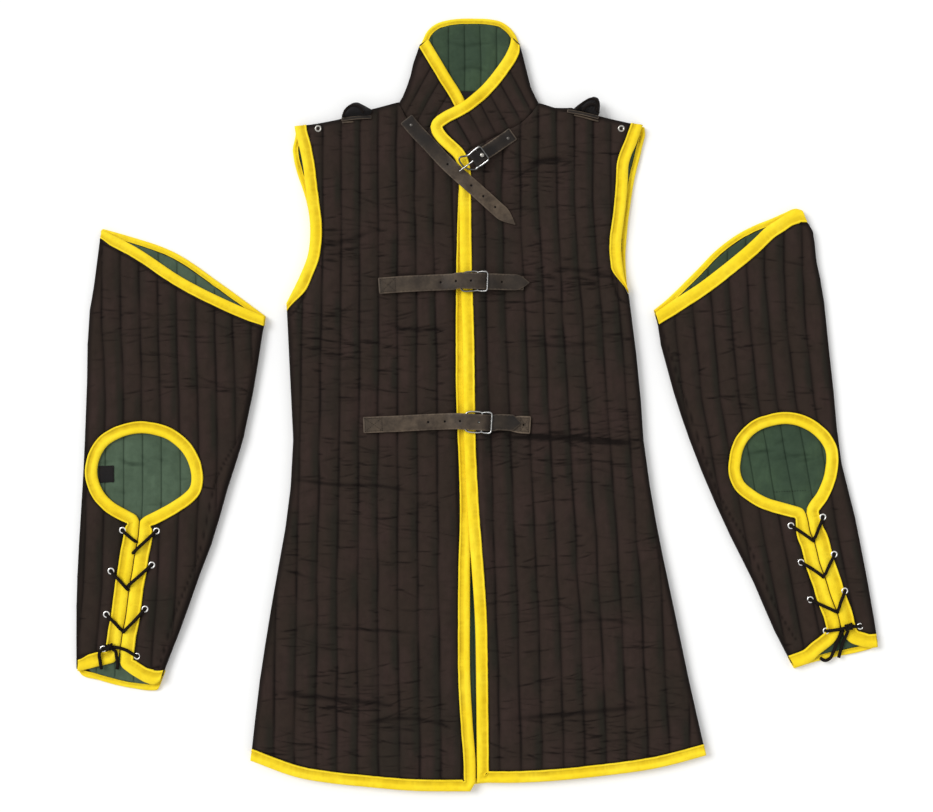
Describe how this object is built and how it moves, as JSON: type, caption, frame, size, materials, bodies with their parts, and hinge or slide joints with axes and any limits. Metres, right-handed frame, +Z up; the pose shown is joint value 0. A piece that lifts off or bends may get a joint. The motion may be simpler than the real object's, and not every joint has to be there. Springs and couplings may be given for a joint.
{
  "type": "gambeson",
  "caption": "Quilted padded arming jacket laid flat, sleeveless body with collar and buckled straps, beside its two loose lace-up sleeves.",
  "frame": {"origin": "middle of the whole laid-out set, on the surface it lies on", "axes": "+X towards the wearer's left across the laid jacket, +Y towards the collar, +Z up from the surface"},
  "size_m": [1.2066, 1.1628, 0.0345],
  "materials": {
    "shell": "quilted black-brown cotton, matt",
    "lining": "dark green cotton, matt",
    "binding": "bright yellow bias tape, soft sheen",
    "leather": "black leather, half matt",
    "chrome": "polished steel",
    "lace": "black flat woven lace"
  },
  "bodies": {
    "root": {"back": "shell", "back_lining": "lining", "binding_armhole_left": "binding", "binding_armhole_left_back": "binding", "binding_armhole_right": "binding", "binding_armhole_right_back": "binding", "binding_collar_back": "binding", "binding_front_left": "binding", "binding_front_right": "binding", "binding_hem_back": "binding", "chest_buckle": "chrome", "chest_holder": "leather", "chest_strap": "leather", "collar_back": "shell", "collar_left": "shell", "collar_lining": "lining", "collar_right": "shell", "front_left": "shell", "front_right": "shell", "neck_buckle": "chrome", "neck_holder": "leather", "neck_strap": "leather", "neck_tape": "shell", "shoulder_eyelet_left": "chrome", "shoulder_eyelet_right": "chrome", "shoulder_tab_left": "leather", "shoulder_tab_right": "leather", "shoulder_tie_left": "lace", "shoulder_tie_right": "lace", "sleeve_left_back": "shell", "sleeve_left_binding_cuff_back": "binding", "sleeve_left_binding_head": "binding", "sleeve_left_binding_head_back": "binding", "sleeve_left_binding_opening": "binding", "sleeve_left_front": "shell", "sleeve_left_lace_1": "lace", "sleeve_left_lace_2": "lace", "sleeve_left_lace_3": "lace", "sleeve_left_lace_bow": "lace", "sleeve_left_lace_end_1": "lace", "sleeve_left_lace_end_2": "lace", "sleeve_left_lining": "lining", "sleeve_right_back": "shell", "sleeve_right_binding_cuff_back": "binding", "sleeve_right_binding_head": "binding", "sleeve_right_binding_head_back": "binding", "sleeve_right_binding_opening": "binding", "sleeve_right_front": "shell", "sleeve_right_lace_1": "lace", "sleeve_right_lace_2": "lace", "sleeve_right_lace_3": "lace", "sleeve_right_lace_bow": "lace", "sleeve_right_lace_end_1": "lace", "sleeve_right_lace_end_2": "lace", "sleeve_right_lining": "lining", "sleeve_right_patch": "shell", "waist_buckle": "chrome", "waist_holder": "leather", "waist_strap": "leather"}
  },
  "joints": []
}
